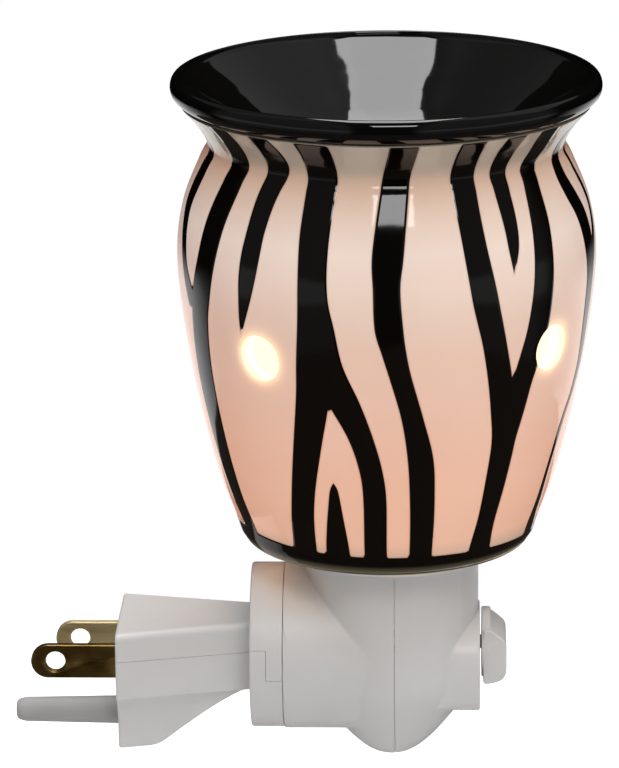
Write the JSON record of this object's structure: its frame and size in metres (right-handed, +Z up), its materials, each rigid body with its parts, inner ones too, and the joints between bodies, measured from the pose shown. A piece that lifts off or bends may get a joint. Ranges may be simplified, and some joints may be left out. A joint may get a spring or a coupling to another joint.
{
  "type": "electric wax warmer",
  "caption": "Plug-in wax warmer: a striped ceramic jar lit from inside, a lift-off wax dish, and a swivelling night-light base with a grounded plug and a turn switch.",
  "frame": {"origin": "centre of the plug's face, on the axis about which the base swivels", "axes": "+X from the plug's face towards the jar, +Z up along the jar, +Y away from the side that the picture shows"},
  "size_m": [0.1074, 0.077, 0.1286],
  "materials": {
    "white_plastic": "satin moulded",
    "pin_plastic": "satin moulded",
    "insulator": "dull moulded",
    "lead_insulation": "dull",
    "brass": "brushed",
    "lamp_glass": "clear",
    "filament": "wound wire",
    "pale_glaze": "gloss glaze with black stripes",
    "black_glaze": "gloss glaze"
  },
  "bodies": {
    "plug": {"plug_upper_shell": "white_plastic", "plug_lower_shell": "white_plastic", "hot_blade": "brass", "neutral_blade": "brass", "ground_pin": "pin_plastic", "contact_disc": "insulator", "hot_contact_ring": "brass", "neutral_contact_button": "brass", "hot_plug_lead": "lead_insulation", "neutral_plug_lead": "lead_insulation"},
    "base": {"housing_plug_side": "white_plastic", "housing_switch_side": "white_plastic", "jar_seat": "white_plastic", "contact_carrier": "insulator", "hot_spring_finger": "brass", "neutral_spring_finger": "brass", "switch_case": "insulator", "switch_terminal_in": "brass", "switch_terminal_out": "brass", "lamp_socket": "insulator", "screw_shell": "brass", "centre_contact": "brass", "hot_lead": "lead_insulation", "neutral_lead": "lead_insulation", "switched_lead": "lead_insulation"},
    "knob": {"knob_shaft": "brass", "switch_knob": "white_plastic"},
    "lamp": {"lamp_tip": "brass", "lamp_cap": "brass", "lamp_glass": "lamp_glass", "lamp_stem": "lamp_glass", "lamp_filament": "filament"},
    "jar": {"ceramic_jar": "pale_glaze"},
    "dish": {"wax_dish": "black_glaze"}
  },
  "joints": [
    {"name": "swivel", "type": "hinge", "parent": "plug", "child": "base", "pos_m": [0.0315, 0, 0], "axis": [1, 0, 0], "range_deg": [-90, 90]},
    {"name": "switch_turn", "type": "hinge", "parent": "base", "child": "knob", "pos_m": [0.0665, 0, 0.0006], "axis": [1, 0, 0], "continuous": true},
    {"name": "lamp_unscrew", "type": "hinge", "parent": "base", "child": "lamp", "pos_m": [0.0504, 0, 0.02], "axis": [0, 0, 1], "range_deg": [0, 1440]},
    {"name": "jar_lift", "type": "slide", "parent": "base", "child": "jar", "axis": [0, 0, 1], "range_m": [0, 0.1]},
    {"name": "dish_lift", "type": "slide", "parent": "jar", "child": "dish", "axis": [0, 0, 1], "range_m": [0, 0.06]}
  ]
}
